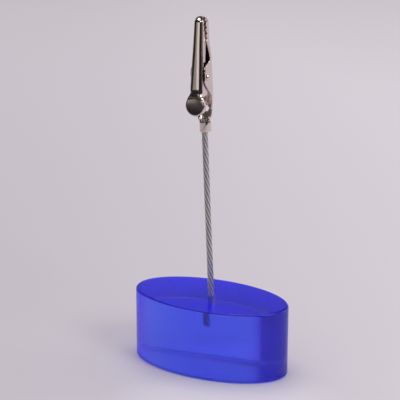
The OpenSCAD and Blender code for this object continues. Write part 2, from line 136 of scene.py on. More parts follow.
class ClipSizes(bpy.types.PropertyGroup):
    """Sizes and colours of the clip, in its own frame: origin at the foot of the crimp barrel."""
    sheet: length("Sheet", "Thickness of the sheet", 0.4)
    pivot_height: length("Pivot height", "Height of the pivot above the crimp barrel's foot", 21.3)
    pivot_front: length("Pivot front", "Distance of the pivot in front of the rope's axis", 1.9)
    nose_reach: length("Nose reach", "Distance from the pivot to the tip", 22.7)
    tooth_run: length("Tooth run", "Length of the toothed part", 10)
    tooth_pitch: length("Tooth pitch", "Distance from tooth to tooth", 2.1)
    tooth_height: length("Tooth height", "Height of a tooth", 0.7)
    tooth_gap: length("Tooth gap", "Gap between the closed teeth", 0.12)
    jaw_width: length("Jaw width", "Width of the thumb jaw beside the pad", 4.8)
    nose_width: length("Nose width", "Width of the thumb jaw at the nose", 3.2)
    nose_round: length("Nose round", "Radius of the thumb jaw's nose", 1.5)
    nose_lag: length("Nose lag", "Distance by which the thumb jaw's nose stops short", 0.3)
    shoulder: length("Shoulder", "Radius of the thumb jaw's shoulders", 1.75)
    cheek: length("Cheek", "Spread of the thumb jaw's walls beyond the plain channel", 0.1)
    crown_back: length("Crown back", "Height of the crown beside the pad", 7.7)
    crown_nose: length("Crown nose", "Height of the crown at the nose", 2.5)
    pad_width: length("Pad width", "Width of the oval pad", 7.8)
    pad_length: length("Pad length", "Twice the length of the oval pad's upper half", 8.6)
    pad_foot: length("Pad foot", "Length of the oval pad's lower half", 3.9)
    pad_drop: length("Pad drop", "Distance from the pivot down to the pad's middle", 9.8)
    pad_front: length("Pad front", "Distance of the pad's face in front of the rope's axis", 8)
    pad_rim: length("Pad rim", "Depth of the pad's rolled rim", 1.9)
    pad_roll: length("Pad roll", "Radius of the pad's rolled rim", 0.55)
    pad_tilt: angle("Pad tilt", "Outward tilt of the pad", 7)
    pad_dome: length("Pad dome", "Height of the dome on the pad", 0.12)
    crown_bow: length("Crown bow", "Height of the crown's bow", 0.05)
    crown_flat: length("Crown flat", "Least half width of the flat crown", 0.3)
    back_depth: length("Back depth", "Distance of the crimp jaw's back behind the rope's axis", 3.05)
    back_nose: length("Back nose", "The same distance at the nose", 2.45)
    back_nose_width: length("Back nose width", "Width of the crimp jaw at the nose", 4.7)
    back_nose_round: length("Back nose round", "Radius of the crimp jaw's nose", 2.2)
    back_corner: length("Back corner", "Radius along the crimp jaw's back edges", 0.9)
    ear_reach: length("Ear reach", "Reach of the ears in front of the pivot", 2.3)
    ear_top: length("Ear top", "Height of the ears above the pivot", 5.45)
    wall_gap: length("Wall gap", "Gap between the thumb jaw and the ears", 0.14)
    tail_edge: length("Tail edge", "Distance of the tail's edges behind the rope's axis", 0.95)
    tail_hole: length("Tail hole", "Diameter of the hole in the tail", 2.4)
    tail_hole_up: length("Tail hole height", "Height of the hole above the crimp barrel", 4.6)
    barrel_height: length("Barrel height", "Height of the crimp barrel", 3.6)
    barrel_room: length("Barrel room", "Room beside the rope in the barrel", 0.25)
    rope_fit: length("Rope fit", "Clearance of the rope in the barrel", 0.05)
    deburr: length("Deburr", "Rounding of the sheet's cut edges", 0.05)
    nickel: colour("Nickel", "Colour of the plating", (0.79, 0.68, 0.63))
    speck: colour("Speck", "Colour of the dull specks in the plating", (0.36, 0.33, 0.29))
    wear: number("Wear", "Strength of the smudges on the plating", 0.35)


class PivotSizes(bpy.types.PropertyGroup):
    """Sizes and colours of the rivet and the torsion spring."""
    rivet: length("Rivet", "Diameter of the rivet's shank", 1.6)
    head: length("Head", "Diameter of the rivet's heads", 2.6)
    head_height: length("Head height", "Height of the rivet's heads", 0.5)
    head_side: length("Head side", "Height of the heads' upright rim", 0.15)
    fit: length("Fit", "Clearance of the rivet in the ears", 0.01)
    wire: length("Wire", "Diameter of the spring's wire", 0.45)
    bore: length("Bore", "Inner diameter of the spring's coil", 2.5)
    turns: IntProperty(name="Turns", description="Whole turns in the coil", default=3, min=2, max=3)
    leg_gap: length("Leg gap", "Gap between the spring and the sheet", 0.1)
    leg_up: length("Leg height", "Height of the legs' ends above the crown's foot and the tail's top", 0.4)
    steel: colour("Steel", "Colour of the spring wire", (0.42, 0.41, 0.40))
    dull: number("Dullness", "Least roughness of the spring wire", 0.25)


class StageLook(bpy.types.PropertyGroup):
    """Floor, light and camera."""
    floor: colour("Floor", "Colour of the floor", (0.55, 0.507, 0.553))
    # Painted light: the floor is paler to the back and the right
    far_light: colour("Far floor", "Colour of the floor farther off", (0.72, 0.67, 0.72))
    # Painted light on the floor that the resin shows, most of all under the block
    through: colour("Floor through resin", "Colour of the floor that the resin shows", (0.9, 0.86, 0.92))
    under: colour("Floor under resin", "Colour of the floor that shows under the block", (1.0, 0.9, 1.0))
    patch: colour("Light patch", "Colour of the light thrown in front of the block", (0.74, 0.7, 0.77))
    sink: length("Sink", "Depth of the floor below the block", 0.2)
    azimuth: angle("Azimuth", "Camera's angle from the front", 24.86)
    elevation: angle("Elevation", "Camera's height angle", 19.04)
    roll: angle("Roll", "Camera's roll", 0.0635)
    distance: length("Distance", "Camera's distance", 628.5)
    aside: length("Aside", "Camera's move to the right", -4.45, -1)
    lift: length("Lift", "Camera's move up", 64.42, -1)
    lens: number("Lens", "Focal length in millimetres on a 36 mm sensor", 142.1, 1, 5000)
    key: power("Key", "Power of the key lamp", 4.6)
    top: power("Top", "Power of the overhead lamp", 7.6)
    window: power("Window", "Power of the lamp behind, to the right", 2.4)
    fill: colour("Fill", "Colour of the room's even light", (0.45, 0.441, 0.45))
    room: colour("Room", "Colour of the dark room that metal mirrors", (0.02, 0.015, 0.014))
    card: colour("Card", "Colour of the pale screen that metal mirrors", (0.8, 0.776, 0.76))
    front: colour("Front", "Colour of the room in front, as the resin shows it", (0.12, 0.11, 0.12))


class HolderSettings(bpy.types.PropertyGroup):
    """All settings of the memo holder."""
    block: PointerProperty(type=BlockSizes)
    rope: PointerProperty(type=RopeSizes)
    clip: PointerProperty(type=ClipSizes)
    pivot: PointerProperty(type=PivotSizes)
    stage: PointerProperty(type=StageLook)


def settings():
    """The settings kept on the scene."""
    return bpy.context.scene.memo_holder


# Shader maths

class Wire:
    """A value on a node's socket. Arithmetic on it adds Math nodes to its tree."""

    def __init__(self, look, socket):
        self.look = look
        self.socket = socket

    def _math(self, operation, *terms):
        """The result of a Math node."""
        return self.look.add("ShaderNodeMath", {"operation": operation}, dict(enumerate(terms)))

    def __add__(self, other):
        return self._math("ADD", self, other)

    def __sub__(self, other):
        return self._math("SUBTRACT", self, other)

    def __rsub__(self, other):
        return self._math("SUBTRACT", other, self)

    def __mul__(self, other):
        return self._math("MULTIPLY", self, other)

    def __pow__(self, other):
        return self._math("POWER", self, other)

    __radd__ = __add__
    __rmul__ = __mul__

    def most(self, other):
        """The larger of two values."""
        return self._math("MAXIMUM", self, other)

    def smooth(self, low, high):
        """0 below low, 1 above high, smooth between them."""
        return self.look.add("ShaderNodeMapRange", {"interpolation_type": "SMOOTHSTEP"},
                             {"Value": self, "From Min": low, "From Max": high})

    def band(self, low, full, fade, high):
        """0 below low, 1 from full to fade, 0 above high, smooth between them."""
        return self.smooth(low, full) * (1 - self.smooth(fade, high))


class Look:
    """A node tree that is being written."""

    def __init__(self, tree):
        self.tree = tree
        tree.nodes.clear()

    def add(self, kind, options=None, inputs=None, out=0):
        """Adds a node, sets its options, then its sockets' values or links. Gives the chosen output."""
        node = self.tree.nodes.new(kind)
        for key, value in (options or {}).items():
            setattr(node, key, value)
        for key, value in (inputs or {}).items():
            socket = node.inputs[key]
            if isinstance(value, Wire):
                self.tree.links.new(value.socket, socket)
            else:
                socket.default_value = value
        return Wire(self, node.outputs[out]) if node.outputs else node

    def mix(self, factor, first, second):
        """A mix of two colours, each a link or three numbers."""
        first, second = (tone if isinstance(tone, Wire) else (*tone, 1) for tone in (first, second))
        return self.add("ShaderNodeMix", {"data_type": "RGBA"}, {0: factor, 6: first, 7: second}, 2)

    def place(self):
        """Object coordinates, in metres."""
        return self.add("ShaderNodeTexCoord", None, None, "Object")

    def axis(self, where, name):
        """One coordinate of a place or direction."""
        return self.add("ShaderNodeSeparateXYZ", None, {0: where}, name)

    def along(self, where, way):
        """How far a place or direction reaches along a way: their dot product."""
        return self.add("ShaderNodeVectorMath", {"operation": "DOT_PRODUCT"},
                        {0: where, 1: tuple(way)}, "Value")

    def stretched(self, where, factors):
        """Coordinates scaled along each axis."""
        return self.add("ShaderNodeVectorMath", {"operation": "MULTIPLY"}, {0: where, 1: factors})

    def noise(self, where, scale, detail=2.0, rough=0.5):
        """Smooth noise from 0 to 1, with so many waves to one unit of the coordinates."""
        return self.add("ShaderNodeTexNoise", None,
                        {"Vector": where, "Scale": scale, "Detail": detail, "Roughness": rough})

    def ray(self, kind):
        """1 for rays of the named kind, 0 for the others."""
        return self.add("ShaderNodeLightPath", None, None, f"Is {kind} Ray")


def scaled(tone, factor):
    """A colour made darker or lighter."""
    return tuple(factor * part for part in tone)


def finish(name):
    """A new material and its Look."""
    material = bpy.data.materials.new(name)
    material.use_nodes = True
    return material, Look(material.node_tree)


def surface(look, shader, volume=None):
    """Links a shader, and a volume if there is one, to the material's output."""
    links = {"Surface": shader}
    if volume:
        links["Volume"] = volume
    look.add("ShaderNodeOutputMaterial", None, links)


def resin_finish():
    """Dyed clear resin: polished and refracting, with faint handling haze, some milk, and dye in its depth.
    The tint goes by height: painted light on the flat top, a painted dark line and a painted highlight line
    below it for the rounded top edge's reflection, and painted shade at the foot, which is also duller.
    The oval's two ends, by the square of X, are duller and carry painted shade. Part of the light goes
    straight through."""
    block = settings().block
    material, look = finish("dyed_resin")
    where = look.place()
    haze = look.noise(where, 60.0).smooth(0.3, 0.8)
    height = look.axis(where, "Z")
    below = block.height - height
    along = look.axis(where, "X")
    off_floor = height.smooth(0.02 * MM, 0.1 * MM)
    off_top = below.smooth(0.01 * MM, 0.06 * MM)
    # Painted reflection of the rounded top edge: a dark line, then a pale highlight line below it
    line = off_top * (1 - below.smooth(0.3 * MM, 0.5 * MM))
    gleam = below.band(0.4 * MM, 0.6 * MM, 0.8 * MM, 1.0 * MM)
    # Painted shade round the foot, which is also duller
    foot = off_floor * (1 - height.smooth(0.8 * MM, 1.8 * MM))
    # Painted shade at the oval's two ends, which are also duller
    ends = (along * along).smooth(400 * MM ** 2, 700 * MM ** 2) * off_floor * off_top
    tint = look.mix(0.25 * haze, block.tint, scaled(block.tint, 0.94))
    # Paints over the tint: the top edge's dark line as painted reflection, painted light on the flat top, the
    # painted highlight line, and painted shade at the foot and at the ends
    for cover, tone in ((line, block.edge_dark_reflection_tint), (1 - off_top, block.top_light_tint),
                        (0.4 * gleam, block.gleam_tint), (0.6 * foot, block.foot_shade_tint),
                        (ends, block.end_shade_tint)):
        tint = look.mix(cover, tint, tone)
    milk = look.mix(0.25 * haze, block.milk, scaled(block.milk, 0.9))
    polish = block.polish + 0.02 * haze + block.foot_dull * foot + block.end_dull * ends
    clear = look.add("ShaderNodeBsdfPrincipled", None, {
        "Base Color": tint, "Roughness": polish, "IOR": block.bend, "Transmission Weight": 1.0,
    })
    cloudy = look.add("ShaderNodeBsdfPrincipled", None, {
        "Base Color": milk, "Roughness": polish, "IOR": block.bend, "Subsurface Weight": 1.0,
        "Subsurface Radius": (1, 1, 1), "Subsurface Scale": block.milk_depth,
    })
    resin = look.add("ShaderNodeMixShader", None,
                     {0: block.milkiness + 0.02 * haze, 1: clear, 2: cloudy})
    lit = look.add("ShaderNodeBsdfTransparent", None, {"Color": (*block.shade, 1)})
    shader = look.add("ShaderNodeMixShader", None,
                      {0: block.shade_share * look.ray("Shadow"), 1: resin, 2: lit})
    dye = look.add("ShaderNodeVolumeAbsorption", None,
                   {"Color": (*block.dye, 1), "Density": block.dye_strength})
    surface(look, shader, dye)
    return material


def air_finish():
    """An air bubble in resin: refraction the other way round, with a thin uneven film."""
    block = settings().block
    material, look = finish("trapped_air")
    film = look.noise(look.place(), 4000.0)
    surface(look, look.add("ShaderNodeBsdfPrincipled", None, {
        "Base Color": look.mix(0.2 * film, block.air, block.film), "Roughness": 0.02 * film,
        "IOR": 1 / block.bend, "Transmission Weight": 1.0,
    }))
    return material


def nickel_finish():
    """Polished nickel plate: cloudy smudges in its gloss, fine drawn lines and small dull specks."""
    clip = settings().clip
    material, look = finish("nickel_plate")
    where = look.place()
    cloud = look.noise(where, 260.0, 4.0, 0.6).smooth(0.35, 0.75)
    lines = look.noise(look.stretched(where, (9000.0, 9000.0, 500.0)), 1.0)
    smudge = clip.wear * cloud
    speck = clip.wear * look.noise(where, 2600.0).smooth(0.66, 0.78)
    tone = look.mix(0.5 * smudge, clip.nickel, scaled(clip.nickel, 0.86))
    tone = look.mix(0.5 * speck, tone, clip.speck)
    normal = look.add("ShaderNodeBump", None,
                      {"Strength": 0.05, "Distance": 0.01 * MM, "Height": lines + 0.6 * cloud})
    surface(look, look.add("ShaderNodeBsdfPrincipled", None, {
        "Base Color": tone, "Metallic": 1.0, "Normal": normal,
        "Roughness": 0.1 + 0.1 * smudge + 0.2 * speck,
    }))
    return material


def wire_finish(name, tone, dull):
    """Drawn steel wire: lines along the wire by its own map, patches of grime, and painted shade that darkens
    the hollows deep in the rope."""
    material, look = finish(name)
    along = look.add("ShaderNodeUVMap", {"uv_map": "wire"})
    drawn = look.noise(look.stretched(along, (40.0, 3.0, 1.0)), 1.0, 3.0)
    grime = look.noise(look.place(), 700.0, 3.0).smooth(0.4, 0.75)
    hollow = look.add("ShaderNodeAttribute", {"attribute_name": "hollow"}, None, "Fac")
    shade = tone
    # The last cover is painted shade in the rope's hollows
    for cover, darker in ((0.35 * drawn, 0.72), (0.25 * grime, 0.5), (0.72 * hollow, 0.12)):
        shade = look.mix(cover, shade, scaled(tone, darker))
    surface(look, look.add("ShaderNodeBsdfPrincipled", None, {
        "Base Color": shade, "Metallic": 1.0, "Roughness": dull + 0.12 * drawn + 0.15 * grime,
    }))
    return material


# Meshes from arrays

def grid_faces(rows, columns, round_columns=False):
    """Quads of a grid of points, row after row, with the last column joined to the first if asked."""
    row = np.arange(rows - 1)[:, None]
    column = np.arange(columns if round_columns else columns - 1)[None, :]
    after = (column + 1) % columns
    low = row * columns
    high = low + columns
    return np.stack([low + column, low + after, high + after, high + column], -1).reshape(-1, 4)


def repeated_faces(faces, points, copies):
    """The same faces for so many copies of a grid, each with so many points."""
    return (faces[None] + points * np.arange(copies)[:, None, None]).reshape(-1, 4)


def put_mesh(name, points, faces, material, uv=None):
    """A mesh object at the origin from points in metres and quads, with the wire's own map if it is given."""
    mesh = bpy.data.meshes.new(name)
    mesh.from_pydata(points.reshape(-1, 3), [], faces)
    if uv is not None:
        layer = mesh.uv_layers.new(name="wire")
        loops = np.empty(len(mesh.loops), dtype=np.int32)
        mesh.loops.foreach_get("vertex_index", loops)
        layer.data.foreach_set("uv", uv.reshape(-1, 2)[loops].ravel().astype(np.float32))
    obj = bpy.data.objects.new(name, mesh)
    bpy.context.scene.collection.objects.link(obj)
    obj.data.materials.append(material)
    return obj


def weld(obj, distance=1e-7, outward=True):
    """Merges points that coincide, so that poles and seams close. Turns a closed form's faces outwards."""
    work = bmesh.new()
    work.from_mesh(obj.data)
    bmesh.ops.remove_doubles(work, verts=work.verts, dist=distance)
    bmesh.ops.dissolve_degenerate(work, edges=work.edges, dist=distance)
    if outward:
        bmesh.ops.recalc_face_normals(work, faces=work.faces)
    work.to_mesh(obj.data)
    work.free()


def bake_modifiers(obj):
    """Replaces the mesh by the result of its modifiers."""
    graph = bpy.context.evaluated_depsgraph_get()
    mesh = bpy.data.meshes.new_from_object(obj.evaluated_get(graph))
    old = obj.data
    obj.modifiers.clear()
    obj.data = mesh
    bpy.data.meshes.remove(old)


def soften(obj, degrees=35):
    """Smooth shading that keeps edges sharper than the angle."""
    obj.data.polygons.foreach_set("use_smooth", np.ones(len(obj.data.polygons), dtype=bool))
    obj.data.set_sharp_from_angle(angle=math.radians(degrees))


def full_turn(count):
    """Angles that go once round in even steps."""
    return 2 * np.pi * np.arange(count) / count


def ramp(z, start, end):
    """0 before start, 1 after end, straight between them."""
    return np.clip((z - start) / (end - start), 0, 1)


def ease(s):
    """Smooth step of a value from 0 to 1."""
    return s * s * (3 - 2 * s)


def blend(a, b, s):
    """a at s = 0, b at s = 1, straight between them."""
    return a + (b - a) * s


def on_stem(points):
    """From the stem's frame, at the block's top, to the part's: a lean about Y, then the block's height."""
    rope = settings().rope
    c, s = math.cos(rope.lean), math.sin(rope.lean)
    turn = np.array([[c, 0, -s], [0, 1, 0], [s, 0, c]])
    return points @ turn.T + np.array([0, 0, settings().block.height])


def on_clip(points):
    """From the clip's frame to the part's: up by the rope's free length, then as on the stem."""
    return on_stem(points + np.array([0, 0, settings().rope.free]))


# The clip's outlines, in its own frame

class Clip:
    """Heights and outlines of the clip, worked out from its settings and from the fixed sizes listed here."""
    PAD_CLEAR = 0.5 * MM
    NECK_LENGTH = 2.6 * MM
    WALL_SKIRT = 1.7 * MM
    HEEL_BACK = 0.3 * MM
    HEEL_STEP = 0.4 * MM
    LOBE_MARGIN = 1.1 * MM
    LOBE_HALF_TURN = 68
    THUMB_WEDGE_UP = 1.6 * MM
    THUMB_WEDGE_FRONT = 1.4 * MM
    TAIL_DROP = 7.3 * MM
    TAIL_TAPER = 0.1 * MM
    THROAT_LENGTH = 3.8 * MM
    THROAT_LAP = 0.75
    WELD = 0.04 * MM
    WELD_RUN = 0.2 * MM
    WING_FRONT = 0.4 * MM
    SWEEP_UP = 0.8 * MM
    SWEEP_RUN = 3.8 * MM
    FLANK_RADIUS = 23 * MM
    FLANK_TURN = math.radians(56)
    EAR_HEEL_RADIUS = 2.4 * MM
    EAR_HEEL_DROP = 0.8 * MM
    EAR_TOP_RADIUS = 4 * MM
    CRIMP_WEDGE_UP = np.array([0.4, 1.4]) * MM
    CRIMP_WEDGE_BACK = np.array([0.3, 1.0]) * MM
    TOOTH_OVERRUN = 0.2 * MM

    def __init__(self):
        self.s = s = settings().clip
        self.tip = s.pivot_height + s.nose_reach
        self.thumb_tip = self.tip - s.nose_lag
        self.teeth_from = self.tip - s.tooth_run
        self.pad_z = s.pivot_height - s.pad_drop
        self.crown_from = self.pad_z + s.pad_length / 2 + self.PAD_CLEAR
        self.neck_foot = self.crown_from - self.NECK_LENGTH
        self.wall_foot = self.crown_from - self.WALL_SKIRT
        self.ear_z = s.pivot_height + s.ear_top
        self.tail_top = s.pivot_height - self.TAIL_DROP
        self.tail_foot = s.barrel_height + self.THROAT_LENGTH
        self.throat_from = s.barrel_height - self.WELD_RUN
        self.thumb_half = s.jaw_width / 2
        self.ear_half = self.thumb_half + s.wall_gap + s.sheet
        self.tail_half = self.ear_half - self.TAIL_TAPER
        self.barrel_inner = settings().rope.diameter / 2 + s.rope_fit
        self.throat_half = self.barrel_inner + s.barrel_room + self.THROAT_LAP * s.sheet
        self.throat_depth = self.barrel_inner + s.sheet - self.WELD

    def half(self, z):
        """Half width of the thumb jaw's plain channel: a straight taper from the pad to the tip."""
        return blend(self.thumb_half, self.s.nose_width / 2, ramp(z, self.crown_from, self.tip))

    def crown(self, z):
        """Height of the thumb jaw's crown in front of the rope's axis: a straight taper as well."""
        return blend(self.s.crown_back, self.s.crown_nose, ramp(z, self.crown_from, self.tip))

    def tail_depth(self, z):
        """Distance of the tail's back behind the rope's axis: straight from the barrel to the tail's top."""
        return blend(self.throat_depth, self.s.back_depth, ramp(z, self.s.barrel_height, self.tail_top))

    def mesh_y(self, z):
        """The closed teeth's mating line: a cosine wave about the rope's axis."""
        return self.s.tooth_height / 2 * np.cos(2 * np.pi * (self.tip - z) / self.s.tooth_pitch)

    def teeth(self, side):
        """Heights and places of the tooth edge, on the side that the sign gives."""
        z = np.linspace(self.teeth_from, self.tip + self.TOOTH_OVERRUN, 97)
        return z, self.mesh_y(z) + side * self.s.tooth_gap / 2

    def thumb_edge(self):
        """The thumb jaw's wall edge over the height: heel, lobe round the rivet, wedge, teeth."""
        s = self.s
        heel = self.HEEL_BACK - s.pivot_front
        turn = np.radians(np.linspace(-self.LOBE_HALF_TURN, self.LOBE_HALF_TURN, 25))
        lobe_r = settings().pivot.rivet / 2 + self.LOBE_MARGIN
        tooth_z, tooth_y = self.teeth(-1)
        z = np.concatenate([
            [self.wall_foot, self.wall_foot + self.HEEL_STEP], s.pivot_height + lobe_r * np.sin(turn),
            [self.ear_z + self.THUMB_WEDGE_UP], tooth_z])
        y = np.concatenate([
            [heel, heel + self.HEEL_STEP], lobe_r * np.cos(turn) - s.pivot_front,
            [-self.THUMB_WEDGE_FRONT], tooth_y])
        return z, y

    def crimp_edge(self):
        """The crimp jaw's wall edge over the height: wing, sweep, tail, flank, heel, ear, wedge, teeth.
        The sweep is a smooth step, and flank, heel and ear are arcs that run into each other."""
        s = self.s
        sweep = np.linspace(0, 1, 17)
        front = -s.pivot_front - s.ear_reach
        heel_r, heel_z = self.EAR_HEEL_RADIUS, s.pivot_height - self.EAR_HEEL_DROP
        top_r = self.EAR_TOP_RADIUS
        flank_r, flank_a = self.FLANK_RADIUS, self.FLANK_TURN
        foot_y = front + heel_r - heel_r * math.sin(flank_a)
        foot_z = heel_z - heel_r * math.cos(flank_a)
        flank_b = math.asin(math.sin(flank_a) - (s.tail_edge - foot_y) / flank_r)
        flank = np.linspace(flank_b, flank_a, 25)
        heel = np.linspace(flank_a, math.pi / 2, 13)[1:]
        ear = np.linspace(0, math.pi / 2, 31)
        tooth_z, tooth_y = self.teeth(1)
        z = np.concatenate([
            [self.throat_from], s.barrel_height + self.SWEEP_UP + self.SWEEP_RUN * sweep,
            foot_z + flank_r * (math.cos(flank_a) - np.cos(flank)), heel_z - heel_r * np.cos(heel),
            self.ear_z - top_r + top_r * np.sin(ear), self.ear_z + self.CRIMP_WEDGE_UP, tooth_z])
        y = np.concatenate([
            [-self.WING_FRONT], blend(-self.WING_FRONT, s.tail_edge, ease(sweep)),
            foot_y + flank_r * (math.sin(flank_a) - np.sin(flank)), front + heel_r - heel_r * np.sin(heel),
            front + top_r - top_r * np.cos(ear), self.CRIMP_WEDGE_BACK, tooth_y])
        return z, y


def heights(edge_z, low, high, step):
    """Row heights from low to high: an even ladder plus every height at which the edge turns."""
    least = 0.004 * MM
    ladder = np.linspace(low, high, max(2, int((high - low) / step) + 1))
    z = np.unique(np.concatenate([ladder, edge_z[(edge_z > low) & (edge_z < high)]]))
    return z[np.concatenate([[True], np.diff(z) > least])]


def channel_rows(z, w, c, r, edge, knee=None, flat_n=6, arc_n=12, wall_n=6):
    """Rows of a bent sheet's outer face. From the middle of the crown at y = -c, the half section runs along
    the flat crown, round a shoulder of radius r and straight down the wall at half width w to the edge.
    Half of the wall's columns end at the knee, or half way down. The other half is its mirror image."""
    least_flat = 0.005 * MM
    r = np.minimum(r, w - least_flat)
    end = np.maximum(edge, r - c)
    knee = blend(r - c, end, 0.5) if knee is None else np.clip(knee, r - c, end)
    w, c, r, end, knee = (part[:, None] for part in (w, c, r, end, knee))
    flat = np.linspace(0, 1, flat_n + 1)[:-1]
    arc = np.radians(np.linspace(0, 90, arc_n + 1))[:-1]
    step = np.linspace(0, 1, wall_n + 1)
    down = np.concatenate([blend(r - c, knee, step[:-1]), blend(knee, end, step)], 1)
    x = np.concatenate([(w - r) * flat, w - r + r * np.sin(arc), w + 0 * down], 1)
    y = np.concatenate([-c + 0 * flat, r - c - r * np.cos(arc), down], 1)
    x = np.concatenate([-x[:, :0:-1], x], 1)
    y = np.concatenate([y[:, :0:-1], y], 1)
    return np.stack([x, y, np.broadcast_to(z[:, None], x.shape)], -1)


def with_nose(z, top, radius, half):
    """Adds the rows that round off a nose: a quarter circle, then a cap that closes the top.
    Gives the inset and the height of every row."""
    cap = 0.006 * MM
    turns = np.radians(np.linspace(0, 90, 24))[1:]
    inset = np.concatenate([0 * z, radius * (1 - np.cos(turns)), [half - cap]])
    return inset, np.concatenate([z, top - radius + radius * np.sin(turns), [top]])


def punched(points, faces, middle, radius):
    """Leaves out the quads inside a round hole through the back, along Y, and draws the quads round it out
    to the hole's edge."""
    away = points[:, [0, 2]] - middle
    reach = np.hypot(*away.T)
    inside = (reach < radius) & (points[:, 1] > 0)
    grow = radius / np.maximum(reach[inside], 1e-9)
    points = points.copy()
    points[np.ix_(inside, [0, 2])] = middle + away[inside] * grow[:, None]
    used, faces = np.unique(faces[~inside[faces].all(1)], return_inverse=True)
    return points[used], faces.reshape(-1, 4)


def thumb_rows(clip):
    """The thumb jaw's outer face, from the pad's middle line up to the nose.
    Half width and depth follow the pad's ellipse, ease through the neck and taper along the channel.
    A cubic bridges from the pad to the crown, and a parabola across makes the dome and the bow."""
    s = clip.s
    row_step = 0.16 * MM
    cheek_run = 4 * MM
    bridge_half = 1.7 * MM
    nose_trim, trim_from, trim_to = 0.2 * MM, 0.9 * MM, 0.4 * MM
    draw_run, draw_from, draw_to = 1.2 * MM, 1.0 * MM, 0.1 * MM
    plain_run = 1.2 * MM
    lift_depth = 2 * MM
    tilt = math.tan(s.pad_tilt)
    upper = s.pad_length / 2

    def cheek(z):
        """Spread of the walls, which fades out below the teeth."""
        return s.cheek * (1 - ramp(z, clip.teeth_from - cheek_run, clip.teeth_from))

    # Rows, and how far each one is through the pad and the neck
    edge_z, edge_y = clip.thumb_edge()
    z = heights(edge_z, clip.pad_z, clip.thumb_tip - s.nose_round, row_step)
    nose_half = clip.half(clip.thumb_tip) + cheek(clip.thumb_tip)
    inset, z = with_nose(z, clip.thumb_tip, s.nose_round, nose_half)
    neck = ease(ramp(z, clip.neck_foot, clip.crown_from))
    oval = np.minimum(1, (z - clip.pad_z) / upper)
    on_pad = np.minimum(oval, (clip.neck_foot - clip.pad_z) / upper) ** 2

    # Half width, depth and shoulder of each row
    half = clip.half(z) + cheek(z)
    face = s.pad_front - (z - clip.pad_z) * tilt
    w = blend(s.pad_width / 2 * np.sqrt(1 - on_pad), half, neck) - inset
    c = blend(face, clip.crown(z), neck) - inset
    r = blend(s.pad_roll, np.minimum(s.shoulder, half - s.crown_flat), neck)

    # The bridge keeps the pad's slope at its lower end and the crown's at its upper end
    dome = s.pad_dome * np.maximum(0, 1 - oval ** 2)
    low_z, high_z = clip.crown_from - bridge_half, clip.crown_from + bridge_half
    low_c = np.interp(low_z, z, c + dome)
    high_c = np.interp(high_z, z, c) + s.crown_bow
    low_slope = -tilt - 2 * s.pad_dome * (low_z - clip.pad_z) / upper ** 2
    high_slope = (s.crown_nose - s.crown_back) / (clip.tip - clip.crown_from)
    t = ramp(z, low_z, high_z)
    slopes = (high_z - low_z) * t * (1 - t) * (low_slope * (1 - t) - high_slope * t)
    bridge = blend(low_c, high_c, ease(t)) + slopes
    lift = blend(dome, s.crown_bow * (1 - inset / s.nose_round), ease(ramp(z, clip.neck_foot, high_z)))
    c = np.where((t > 0) & (t < 1), bridge - lift, c)

    # The wall's edge: the pad's rim, then the outline, trimmed at the nose
    rim = s.pad_rim - face
    edge = np.where(z < clip.wall_foot, rim, np.interp(z, edge_z, edge_y))
    edge = edge - nose_trim * ramp(z, clip.thumb_tip - trim_from, clip.thumb_tip - trim_to)
    rows = channel_rows(z, w, c, r, edge, rim)
    side = np.sign(rows[..., 0])
    across = (rows[..., 0] / w[:, None]) ** 2
    depth = rows[..., 1] + c[:, None]

    # The rim's lower part draws in to the walls, and the walls lose their spread below the shoulders
    low = (ramp(z, clip.wall_foot - draw_run, clip.wall_foot) * (z < clip.crown_from))[:, None]
    draw_in = ease(ramp(depth, s.pad_rim - draw_from, s.pad_rim - draw_to)) * low
    drawn = side * np.minimum(np.abs(rows[..., 0]), clip.thumb_half + s.cheek)
    rows[..., 0] = blend(rows[..., 0], drawn, draw_in)
    plain = ease(ramp(depth, s.shoulder, s.shoulder + plain_run)) * (z >= clip.wall_foot)[:, None]
    rows[..., 0] -= side * cheek(z)[:, None] * plain

    # The rim stands square to the tilted pad, and the dome and bow fall off to both sides
    shear = 1 - ramp(z, clip.pad_z, clip.crown_from)[:, None]
    rows[..., 2] -= np.minimum(depth, s.pad_rim) * tilt * shear
    spread = (1 - on_pad * (1 - neck))[:, None]
    rows[..., 1] -= lift[:, None] * np.maximum(0, 1 - across / spread) * (depth < lift_depth)
    return rows


def pad_rows(clip, columns):
    """The lower half of the oval pad: the half section of its middle line, swept through half a turn.
    The section's reach is scaled to the ellipse, and depth runs square to the tilted face."""
    s = clip.s
    rim = np.array([s.pad_rim])
    level = np.array([0.0])
    middle = channel_rows(level, np.array([s.pad_width / 2]), level, np.array([s.pad_roll]), rim, rim)[0]
    section = middle[columns // 2:]
    reach, depth = section[:, 0], section[:, 1]
    turn = np.pi + np.linspace(0, np.pi, 97)[:, None]
    x = reach * np.cos(turn)
    up = reach * (2 * s.pad_foot / s.pad_width) * np.sin(turn)
    c, t = math.cos(s.pad_tilt), math.sin(s.pad_tilt)
    dome = s.pad_dome * (1 - (2 * reach / s.pad_width) ** 2)
    y = -s.pad_front + t * up + c * depth - dome
    return np.stack([x, y, clip.pad_z + c * up - t * depth], -1)


